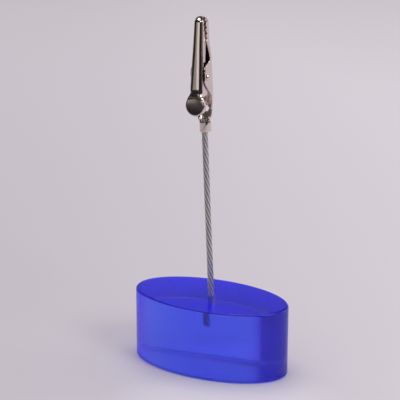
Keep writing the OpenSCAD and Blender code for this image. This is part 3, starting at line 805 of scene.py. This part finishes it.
def crimp_rows(clip):
    """The crimp jaw's outer face, with its crown at the back: throat, tail, ears and nose.
    Half width, depth and corner radius ease from the barrel to the tail and taper to the nose."""
    s = clip.s
    row_step = 0.2 * MM
    nose_half = s.back_nose_width / 2
    edge_z, edge_y = clip.crimp_edge()
    z = heights(edge_z, clip.throat_from, clip.tip - s.back_nose_round, row_step)
    inset, z = with_nose(z, clip.tip, s.back_nose_round, nose_half)
    up_throat = ramp(z, s.barrel_height, clip.tail_foot)
    throat = blend(clip.throat_half, clip.tail_half, 1 - (1 - up_throat) ** 2)
    tail = blend(clip.tail_half, clip.ear_half, ease(ramp(z, clip.tail_foot, clip.tail_top)))
    nose = blend(clip.ear_half, nose_half, ease(ramp(z, clip.ear_z, clip.teeth_from + s.tooth_pitch / 2)))
    w = np.where(z > clip.ear_z, nose, np.where(z > clip.tail_foot, tail, throat)) - inset
    nose_depth = blend(s.back_depth, s.back_nose, ramp(z, s.pivot_height, clip.tip))
    c = np.where(z > s.pivot_height, nose_depth, clip.tail_depth(z)) - inset
    r = blend(clip.throat_depth, s.back_corner, ease(up_throat))
    rows = channel_rows(z, w, c, r, -np.interp(z, edge_z, edge_y), flat_n=14)
    rows[..., 1] *= -1
    return rows[:, ::-1]


def barrel_rows(clip):
    """The crimp barrel's outer face: two wings rolled round the rope. The angle runs from the back,
    the radius grows where the right wing laps over the left, and the lap's edge slants with height."""
    s = clip.s
    lap_gap = 0.25 * MM
    lap_foot, lap_top, left_wing = np.radians([-202, -121, 215])
    z = np.linspace(0, s.barrel_height, 13)[:, None]
    lap = blend(lap_foot, lap_top, z / s.barrel_height)
    turn = blend(lap, left_wing, np.linspace(0, 1, 121)[None, :])
    r = clip.barrel_inner + s.sheet + (s.sheet + lap_gap) * ease(ramp(-turn, 0, math.pi / 2))
    x = -(r + s.barrel_room) * np.sin(turn)
    return np.stack([x, r * np.cos(turn), np.broadcast_to(z, x.shape)], -1)


def sheet_piece(name, grids, node, body, hole=None):
    """A bent sheet: outer faces from grids, a wall set in by the sheet's thickness, and rounded cut edges.
    hole is the middle and the radius of a round hole in its back."""
    clip = settings().clip
    seam = 0.003 * MM
    starts = np.cumsum([0] + [rows.shape[0] * rows.shape[1] for rows in grids])
    points = np.concatenate([rows.reshape(-1, 3) for rows in grids])
    faces = np.concatenate([grid_faces(*rows.shape[:2]) + start for rows, start in zip(grids, starts)])
    if hole:
        points, faces = punched(points, faces, *hole)
    obj = put_mesh(name, on_clip(points), faces, bpy.data.materials["nickel_plate"])
    weld(obj, seam, outward=False)
    inward = obj.modifiers.new("wall", "SOLIDIFY")
    inward.thickness = clip.sheet
    inward.offset = -1
    inward.use_even_offset = False
    edges = obj.modifiers.new("edges", "BEVEL")
    edges.width = clip.deburr
    edges.segments = 2
    edges.limit_method = "ANGLE"
    edges.angle_limit = math.radians(50)
    bake_modifiers(obj)
    soften(obj)
    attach(obj, body)
    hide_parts(node)


def tube_rows(path, radius, sides, guide):
    """Rings round a path: each ring is square to the path, and its first spoke leans towards the guide.
    path is (..., points, 3). Gives points (..., points, sides, 3)."""
    along = np.gradient(path, axis=-2)
    along /= np.linalg.norm(along, axis=-1, keepdims=True)
    spoke = guide - (guide * along).sum(-1, keepdims=True) * along
    spoke /= np.linalg.norm(spoke, axis=-1, keepdims=True)
    other = np.cross(along, spoke)
    turn = full_turn(sides)
    cos, sin = np.cos(turn)[:, None], np.sin(turn)[:, None]
    return path[..., None, :] + radius * (cos * spoke[..., None, :] + sin * other[..., None, :])


def close_tube(rings):
    """Adds a ring drawn in to the path at both ends, so that a tube is closed."""
    ends = rings[..., :1, :, :], rings[..., -1:, :, :]
    first, last = (ring.mean(-2, keepdims=True) + 0 * ring for ring in ends)
    return np.concatenate([first, rings, last], -3)


def wire_map(rings, run):
    """A map for tubes: 0 to 1 round the wire, and along it the run that is given."""
    sides = rings.shape[-2]
    around = np.broadcast_to(np.arange(sides) / sides, rings.shape[:-1])
    return np.stack([around, np.broadcast_to(run, around.shape)], -1)


# Operators

class MEMO_OT_block(bpy.types.Operator):
    """Build the oval block of dyed resin, with the air bubbles that it holds"""
    bl_idname = "memo.block"
    bl_label = "Resin block"

    def execute(self, context):
        self.oval(settings().block)
        self.bubbles()
        return {"FINISHED"}

    def oval(self, b):
        """A half section, flat underside, rounded edge, wall, rounded edge and flat top, carried round
        an ellipse."""
        bow = np.radians(np.linspace(0, 90, 13))
        reach = np.array([0, 0.5, 0.9, 0.995])
        inner = b.length / 2 - b.edge
        r = np.concatenate([inner * reach, inner + b.edge * np.sin(bow)])
        z = np.concatenate([0 * reach, b.edge - b.edge * np.cos(bow)])
        r = np.concatenate([r, r[::-1]])[:, None]
        z = np.concatenate([z, b.height - z[::-1]])[:, None]
        turn = full_turn(256)
        flat = b.width / b.length
        rows = np.stack([r * np.cos(turn), flat * r * np.sin(turn), z + 0 * turn], -1)
        obj = put_mesh("resin_block", rows, grid_faces(len(r), len(turn), True), resin_finish())
        weld(obj)
        soften(obj, 60)
        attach(obj, STAND)
        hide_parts("base_block")

    def bubbles(self):
        """Small spheres at chosen places in the block, each a grid of latitude and longitude.
        The table gives the middle and the radius of each in millimetres."""
        places = np.array([[-6.5, -6.5, 27.6, 0.5], [-7.6, -6.0, 27.7, 0.16], [-21.0, -8.0, 14.6, 0.22],
                           [-19.4, -7.4, 12.4, 0.15], [22.5, -7.0, 15.2, 0.2], [19.0, -8.6, 10.4, 0.16],
                           [-12.0, 5.0, 22.6, 0.2], [9.5, 7.2, 18.4, 0.24], [3.0, -4.0, 6.2, 0.18]]) * MM
        rings, spokes = 13, 24
        lat = np.radians(np.linspace(-90, 90, rings))[None, :, None]
        lon = full_turn(spokes)[None, None, :]
        ball = np.stack([np.cos(lat) * np.cos(lon), np.cos(lat) * np.sin(lon), np.sin(lat) + 0 * lon], -1)
        points = places[:, None, None, :3] + places[:, None, None, 3:] * ball
        faces = repeated_faces(grid_faces(rings, spokes, True), rings * spokes, len(places))
        obj = put_mesh("resin_bubbles", points, faces, air_finish())
        weld(obj)
        soften(obj, 180)
        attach(obj, STAND)


class MEMO_OT_rope(bpy.types.Operator):
    """Build the seven strands of the rope, each of seven wires"""
    bl_idname = "memo.rope"
    bl_label = "Wire rope"

    def execute(self, context):
        s = settings().rope
        steel = wire_finish("rope_wire", s.steel, s.dull)
        lean = math.atan(2 * math.pi * s.diameter / 3 / s.lay)
        strand_d = (s.diameter / 2 - s.gap) / (1 / math.cos(lean) + 0.5)
        lay_radius = (s.diameter - strand_d) / 2
        core_d = 2 * lay_radius - strand_d - 2 * s.gap
        total = s.sunk + s.free + settings().clip.barrel_height + s.proud
        z = np.linspace(0, total, 300)
        self.strand("core_strand_wires", "rope_core_strand", z, 0.0, 0.0, core_d, steel)
        for k in range(1, 7):
            start = k * math.pi / 3
            self.strand(f"strand_{k}_wires", f"rope_strand_{k}", z, lay_radius, start, strand_d, steel)
        return {"FINISHED"}

    def strand(self, name, node, z, radius, start, diameter, steel):
        """Seven wires: the strand's axis is a left-handed helix, and six wires turn round it the other way.
        Each wire is a tube of seven sides along its path. Points are marked for painted shade by their depth
        in the rope."""
        s = settings().rope
        wires, sides = 7, 7
        slack = 0.99
        map_length, map_shift = 4 * MM, 7.3
        hollow_from, hollow_to = 0.06 * MM, 0.3 * MM
        wire = diameter / 3
        turn = start - 2 * np.pi * z / s.lay
        out = np.stack([np.cos(turn), np.sin(turn), 0 * turn], -1)
        axis = radius * out + np.stack([0 * z, 0 * z, z - s.sunk], -1)
        along = np.gradient(axis, axis=0)
        along /= np.linalg.norm(along, axis=-1, keepdims=True)
        side = np.cross(along, out)
        each = np.arange(wires)[:, None, None]
        phase = each * np.pi / 3 + (2 * np.pi * z / s.wire_lay)[:, None]
        paths = axis + (each > 0) * wire * (np.cos(phase) * out + np.sin(phase) * side)
        rings = close_tube(tube_rows(paths, wire / 2 * slack, sides, np.array([1.0, 0.2, 0.0])))
        count = rings.shape[1]
        faces = repeated_faces(grid_faces(count, sides, True), count * sides, wires)
        run = np.linspace(0, z[-1] / map_length, count)[None, :, None] + each * map_shift
        obj = put_mesh(name, on_stem(rings.reshape(-1, 3)), faces, steel, wire_map(rings, run))
        # Painted shade: the deeper a point lies in the rope, the darker it is painted
        depth = s.diameter / 2 - np.hypot(rings[..., 0], rings[..., 1])
        marks = ease(ramp(depth, hollow_from, hollow_to))
        hollow = obj.data.attributes.new("hollow", "FLOAT", "POINT")
        hollow.data.foreach_set("value", marks.ravel().astype(np.float32))
        weld(obj)
        soften(obj, 50)
        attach(obj, STAND)
        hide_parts(node)


class MEMO_OT_jaws(bpy.types.Operator):
    """Build the two stamped jaws of the clip from bent sheet"""
    bl_idname = "memo.jaws"
    bl_label = "Clip jaws"

    def execute(self, context):
        nickel_finish()
        clip = Clip()
        upper = thumb_rows(clip)
        sheet_piece("thumb_jaw_sheet", [upper, pad_rows(clip, upper.shape[1])], "thumb_jaw", THUMB)
        s = clip.s
        hole = np.array([0, s.barrel_height + s.tail_hole_up]), s.tail_hole / 2
        sheet_piece("crimp_jaw_sheet", [crimp_rows(clip), barrel_rows(clip)], "crimp_jaw", STAND, hole)
        return {"FINISHED"}


class MEMO_OT_pivot(bpy.types.Operator):
    """Build the rivet and the torsion spring round it"""
    bl_idname = "memo.pivot"
    bl_label = "Rivet and spring"

    def execute(self, context):
        clip = Clip()
        self.rivet(clip)
        self.spring(clip)
        return {"FINISHED"}

    def at_pivot(self, clip, points):
        """From the pivot's frame, X along the rivet, to the part's frame."""
        return on_clip(points.reshape(-1, 3) + np.array([0, -clip.s.pivot_front, clip.s.pivot_height]))

    def rivet(self, clip):
        """A profile from head to head, carried round the rivet's axis: domes, flat seats and the shank."""
        p = settings().pivot
        seat = clip.ear_half + p.fit
        dome = p.head_height - p.head_side
        dome_r = (p.head ** 2 / 4 + dome ** 2) / (2 * dome)
        reach = np.linspace(0, p.head / 2, 17)
        rise = p.head_height - dome_r + np.sqrt(dome_r ** 2 - reach ** 2)
        r = np.concatenate([reach, [p.head / 2, p.rivet / 2]])
        x = np.concatenate([seat + rise, [seat, seat]])
        r = np.concatenate([r, r[::-1]])[:, None]
        x = np.concatenate([x, -x[::-1]])[:, None]
        turn = full_turn(48)
        rows = np.stack([x + 0 * turn, r * np.cos(turn), r * np.sin(turn)], -1)
        faces = grid_faces(len(r), len(turn), True)
        obj = put_mesh("rivet_turned", self.at_pivot(clip, rows), faces, bpy.data.materials["nickel_plate"])
        weld(obj)
        soften(obj)
        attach(obj, STAND)
        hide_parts("pivot_rivet")

    def spring(self, clip):
        """One wire: a straight leg on the thumb side, a helix along the rivet, and a straight leg on the tail
        side. Each leg leaves the coil along its tangent. The thumb leg's end lies nearer the middle, clear of
        the jaw's shoulder."""
        s, p = clip.s, settings().pivot
        coil_n, leg_n, sides = 220, 24, 12
        map_end = 12
        coil_r = (p.bore + p.wire) / 2
        side = clip.half(s.pivot_height + coil_r) - s.sheet - p.wire / 2 - p.leg_gap
        inset = s.sheet + p.wire / 2 + 2 * p.leg_gap
        thumb_z, tail_z = clip.crown_from + p.leg_up, clip.tail_top + p.leg_up
        thumb_leg = np.array([s.pivot_front - clip.crown(thumb_z) + inset, thumb_z - s.pivot_height])
        tail_leg = np.array([s.pivot_front + clip.tail_depth(tail_z) - inset, tail_z - s.pivot_height])

        def leave(leg, way):
            """The angle at which a leg leaves the coil."""
            return math.atan2(leg[1], leg[0]) + way * math.acos(coil_r / np.hypot(*leg))

        first_turn = leave(thumb_leg, -1) + 2 * math.pi
        last_turn = leave(tail_leg, 1) - 2 * math.pi * p.turns
        turn = np.linspace(first_turn, last_turn, coil_n)
        x = np.linspace(side, -side, coil_n)
        coil = np.stack([x, coil_r * np.cos(turn), coil_r * np.sin(turn)], -1)
        run = np.linspace(0, 1, leg_n + 1)[:-1, None]
        first = blend(np.array([side - s.shoulder / 3, *thumb_leg]), coil[0], run)
        last = blend(np.array([-side, *tail_leg]), coil[-1], run)[::-1]
        path = np.concatenate([first, coil, last])
        rings = close_tube(tube_rows(path, p.wire / 2, sides, np.array([1.0, 0.0, 0.0])))
        faces = grid_faces(len(rings), sides, True)
        uv = wire_map(rings, np.linspace(0, map_end, len(rings))[:, None])
        steel = wire_finish("spring_wire", p.steel, p.dull)
        obj = put_mesh("spring_wound", self.at_pivot(clip, rings), faces, steel, uv)
        weld(obj)
        soften(obj, 50)
        ends = self.at_pivot(clip, np.array([[-side, 0, 0], [side, 0, 0]]))
        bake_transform(obj)
        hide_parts("torsion_spring")


class MEMO_OT_stage(bpy.types.Operator):
    """Set the floor, the lamps, the room and the camera"""
    bl_idname = "memo.stage"
    bl_label = "Stage"

    def execute(self, context):
        look = settings().stage
        self.floor(look)
        self.lamps(look)
        self.room(look)
        self.camera(look)
        context.scene.view_settings.view_transform = "Standard"
        return {"FINISHED"}

    def ahead(self, look):
        """Unit vectors to the camera's right and away from it, along the floor."""
        c, s = math.cos(look.azimuth), math.sin(look.azimuth)
        return np.array([c, s, 0]), np.array([-s, c, 0])

    def floor(self, look):
        """A flat pale sheet. The camera sees all of it pale, metal sees its near and back parts so, and other
        rays the table round the block. The rest is dim. Places are in metres from the block, u to the
        camera's right and v away from it."""
        half_size, lines = 4, 33
        material, paint = finish("pale_floor")
        right, away = self.ahead(look)
        where = paint.place()
        u, v = paint.along(where, right), paint.along(where, away)
        reach = (u * u + v * v) ** 0.5
        rightward = 0.3 * u.most(0)
        camera, through = paint.ray("Camera"), paint.ray("Transmission")
        metal = paint.ray("Glossy") * (1 - through)

        # Which rays see the pale floor. What the resin shows to the left of the block is dimmer
        not_left = u.smooth(-0.5, -0.42)
        table = not_left * (v + rightward).smooth(-0.28, -0.22)
        near = 1 - (reach - rightward).smooth(0.38, 0.44)
        back = not_left * (v - 0.5 * u).smooth(-0.02, 0.1)
        beside = 1 - u.smooth(-0.034, -0.022)
        seen = camera.most(table * (1 - metal) + 0.94 * near.most(back) * metal)
        seen = seen * (1 - 0.75 * through * beside)

        # The pale colour: a faint grain, painted light that makes it paler to the back and right, and painted
        # light that makes it paler through the resin and under the block. An oval patch of painted light lies
        # in front of the block
        grain = paint.noise(where, 14.0, 3.0)
        farther = 0.8 * v.smooth(0.0, 0.75) + 0.6 * u.smooth(-0.14, 0.18)
        # Painted light on the floor that the resin shows under the block
        under = through * (1 - reach.smooth(0.02, 0.035))
        patch_u, patch_v = (u - 0.005) * (1 / 0.05), (v + 0.032) * (1 / 0.025)
        patch = 1 - (patch_u * patch_u + patch_v * patch_v).smooth(0.0, 1.0)
        pale = paint.mix(0.1 * grain, look.floor, scaled(look.floor, 0.9))
        for cover, tone in ((farther, look.far_light), (0.5 * through, look.through), (under, look.under),
                            (0.5 * patch * camera, look.patch)):
            pale = paint.mix(cover, pale, tone)

        # The dim colour grows a little lighter far off
        dim = paint.mix(reach.smooth(1.0, 1.6), scaled(look.floor, 0.02), scaled(look.floor, 0.13))
        dim = paint.mix(reach.smooth(1.6, 2.6), dim, scaled(look.floor, 0.22))
        surface(paint, paint.add("ShaderNodeBsdfPrincipled", None, {
            "Base Color": paint.mix(seen, dim, pale), "Roughness": 0.75, "Specular IOR Level": 0.2,
        }))
        size = np.linspace(-half_size, half_size, lines)
        x, y = np.meshgrid(size, size)
        points = np.stack([x, y, 0 * x - look.sink], -1)
        obj = put_mesh("floor", points, grid_faces(lines, lines), material)

    def lamp(self, name, way, distance, size, watts):
        """A soft square lamp in the given direction, turned to the holder's middle."""
        middle = Vector((0, 0, 0.07))
        way = Vector(way).normalized()
        data = bpy.data.lights.new(name, "AREA")
        data.shape = "SQUARE"
        data.size = size
        data.energy = watts
        lamp = bpy.data.objects.new(name, data)
        turn = way.to_track_quat("Z", "Y").to_matrix().to_4x4()
        lamp.matrix_world = Matrix.Translation(middle + way * distance) @ turn
        bpy.context.scene.collection.objects.link(lamp)

    def lamps(self, look):
        """A key lamp high on the right, a large lamp overhead, and one low behind, to the right."""
        self.lamp("key", (0.70, -0.24, 0.62), 1.3, 0.5, look.key)
        self.lamp("overhead", (-0.15, 0.1, 1), 1.2, 0.9, look.top)
        self.lamp("window", (0.74, 0.62, 0.26), 1.4, 0.7, look.window)

    def room(self, look):
        """The world, by the direction of the ray. Metal mirrors a dark room with a pale screen low in front,
        a faint glow low on the left of it and pale paper behind. The resin shows light behind and a dim
        front, the camera the floor's colour, and all other rays an even light."""
        world = bpy.data.worlds.new("room")
        bpy.context.scene.world = world
        world.use_nodes = True
        paint = Look(world.node_tree)
        right, away = self.ahead(look)
        way = paint.add("ShaderNodeTexCoord", None, None, "Generated")
        rise = paint.axis(way, "Z")
        screen_turn = math.radians(-23)
        c, s = math.cos(screen_turn), math.sin(screen_turn)
        across, facing = paint.along(way, (c, s, 0)), paint.along(way, (s, -c, 0))
        screen = across.band(-0.22, 0.2, 0.78, 0.88) * facing.smooth(0.0, 0.3)
        screen = screen * rise.band(0.02, 0.07, 0.19, 0.27)
        glow = paint.along(way, (-0.515, -0.857, 0.02)).smooth(0.984, 0.9992)
        glow = 0.42 * glow * rise.band(-0.07, 0.02, 0.04, 0.09)
        paper = paint.along(way, 0.5 * right + 0.87 * away).smooth(0.2, 0.5)
        paper = paper * (1 - rise.smooth(0.22, 0.52))
        mirrored = paint.mix(paper, paint.mix(screen.most(glow), look.room, look.card), look.floor)
        behind = paint.along(way, 0.3 * right + away).smooth(-0.3, 0.2)
        through = paint.mix(behind, look.front, scaled(look.floor, 1.35))
        tone = paint.mix(paint.ray("Glossy"), look.fill, mirrored)
        tone = paint.mix(paint.ray("Transmission"), tone, through)
        tone = paint.mix(paint.ray("Camera"), tone, look.floor)
        light = paint.add("ShaderNodeBackground", None, {"Color": tone, "Strength": 1.0})
        paint.add("ShaderNodeOutputWorld", None, {"Surface": light})

    def camera(self, look):
        """The photograph's camera: its back axis, then a roll about it, then moves aside and up."""
        ca, sa = math.cos(look.azimuth), math.sin(look.azimuth)
        ce, se = math.cos(look.elevation), math.sin(look.elevation)
        back = Vector((sa * ce, -ca * ce, se))
        right = Vector((ca, sa, 0))
        up = back.cross(right)
        spot = look.distance * back + look.aside * right + look.lift * up
        c, s = math.cos(look.roll), math.sin(look.roll)
        across, over = c * right + s * up, c * up - s * right
        data = bpy.data.cameras.new("camera")
        data.lens = look.lens
        data.sensor_width = 36
        data.clip_start = 0.01
        data.clip_end = 50
        camera = bpy.data.objects.new("camera", data)
        camera.matrix_world = Matrix.Translation(spot) @ Matrix((across, over, back)).transposed().to_4x4()
        bpy.context.scene.collection.objects.link(camera)
        bpy.context.scene.camera = camera


class MEMO_PT_panel(bpy.types.Panel):
    """Lists the memo holder's operators and settings"""
    bl_idname = "MEMO_PT_panel"
    bl_label = "Memo holder"
    bl_space_type = "VIEW_3D"
    bl_region_type = "UI"
    bl_category = "Memo holder"

    def draw(self, context):
        for operator in OPERATORS:
            self.layout.operator(operator.bl_idname)
        for group in ("block", "rope", "clip", "pivot", "stage"):
            box = self.layout.box()
            values = getattr(context.scene.memo_holder, group)
            for name in values.__annotations__:
                box.prop(values, name)


GROUPS = (BlockSizes, RopeSizes, ClipSizes, PivotSizes, StageLook, HolderSettings)
OPERATORS = (MEMO_OT_block, MEMO_OT_rope, MEMO_OT_jaws, MEMO_OT_pivot, MEMO_OT_stage)
CLASSES = GROUPS + OPERATORS + (MEMO_PT_panel,)


def register():
    """Registers the classes and puts the settings on the scene."""
    for item in CLASSES:
        bpy.utils.register_class(item)
    bpy.types.Scene.memo_holder = PointerProperty(type=HolderSettings)


def unregister():
    """Takes the settings off the scene and the classes out again."""
    del bpy.types.Scene.memo_holder
    for item in reversed(CLASSES):
        bpy.utils.unregister_class(item)


def main():
    """Builds the holder and the stage."""
    register()
    bpy.ops.memo.block()
    bpy.ops.memo.rope()
    bpy.ops.memo.jaws()
    bpy.ops.memo.pivot()
    bpy.ops.memo.stage()


if __name__ == "__main__":
    main()
